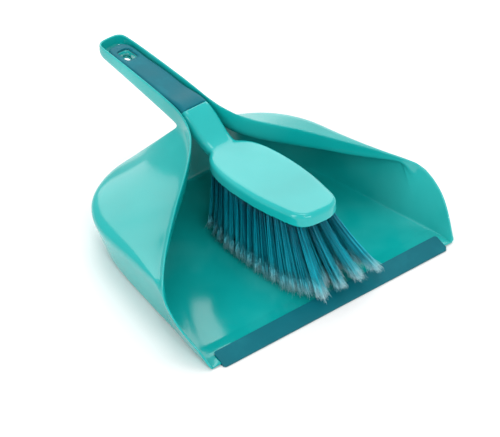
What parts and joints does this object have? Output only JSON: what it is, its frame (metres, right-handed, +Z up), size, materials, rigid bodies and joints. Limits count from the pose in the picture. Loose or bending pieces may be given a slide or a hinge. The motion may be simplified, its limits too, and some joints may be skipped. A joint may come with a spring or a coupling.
{
  "type": "dust pan and brush set",
  "caption": "Hand dust pan with a soft front lip, a hooded rear and a trough handle, and a hand brush whose soft-grip handle nests in the trough while its bristles stand in the pan",
  "frame": {"origin": "middle of the flat underside of the pan, where it rests on the floor", "axes": "+Z up, the soft lip is at -Y, the handle at +Y, +X to the right; the moulded pieces are symmetric about X = 0"},
  "size_m": [0.3278, 0.3474, 0.1252],
  "materials": {
    "pan_plastic": "injection-moulded gloss polypropylene, light teal",
    "brush_plastic": "injection-moulded gloss polypropylene, light teal",
    "lip_rubber": "soft thermoplastic rubber, satin, dark petrol teal",
    "grip_rubber": "soft thermoplastic rubber, matte, dark petrol teal",
    "bristle": "flagged blue filament, pale split ends",
    "anchor_wire": "flat drawn wire"
  },
  "bodies": {
    "pan": {"pan_shell": "pan_plastic", "rubber_lip": "lip_rubber"},
    "brush": {"brush_body": "brush_plastic", "grip_pad": "grip_rubber", "bristle_row_01": "bristle", "bristle_row_02": "bristle", "bristle_row_03": "bristle", "bristle_row_04": "bristle", "bristle_row_05": "bristle", "bristle_row_06": "bristle", "bristle_row_07": "bristle", "bristle_row_08": "bristle", "bristle_row_09": "bristle", "bristle_row_10": "bristle", "bristle_row_11": "bristle", "bristle_row_12": "bristle", "bristle_row_13": "bristle", "bristle_row_14": "bristle", "bristle_row_15": "bristle", "anchor_row_01": "anchor_wire", "anchor_row_02": "anchor_wire", "anchor_row_03": "anchor_wire", "anchor_row_04": "anchor_wire", "anchor_row_05": "anchor_wire", "anchor_row_06": "anchor_wire", "anchor_row_07": "anchor_wire", "anchor_row_08": "anchor_wire", "anchor_row_09": "anchor_wire", "anchor_row_10": "anchor_wire", "anchor_row_11": "anchor_wire", "anchor_row_12": "anchor_wire", "anchor_row_13": "anchor_wire", "anchor_row_14": "anchor_wire", "anchor_row_15": "anchor_wire"}
  },
  "joints": [
    {"name": "brush_lift", "type": "slide", "parent": "pan", "child": "brush", "axis": [0, 0, 1], "range_m": [0, 0.26]}
  ]
}
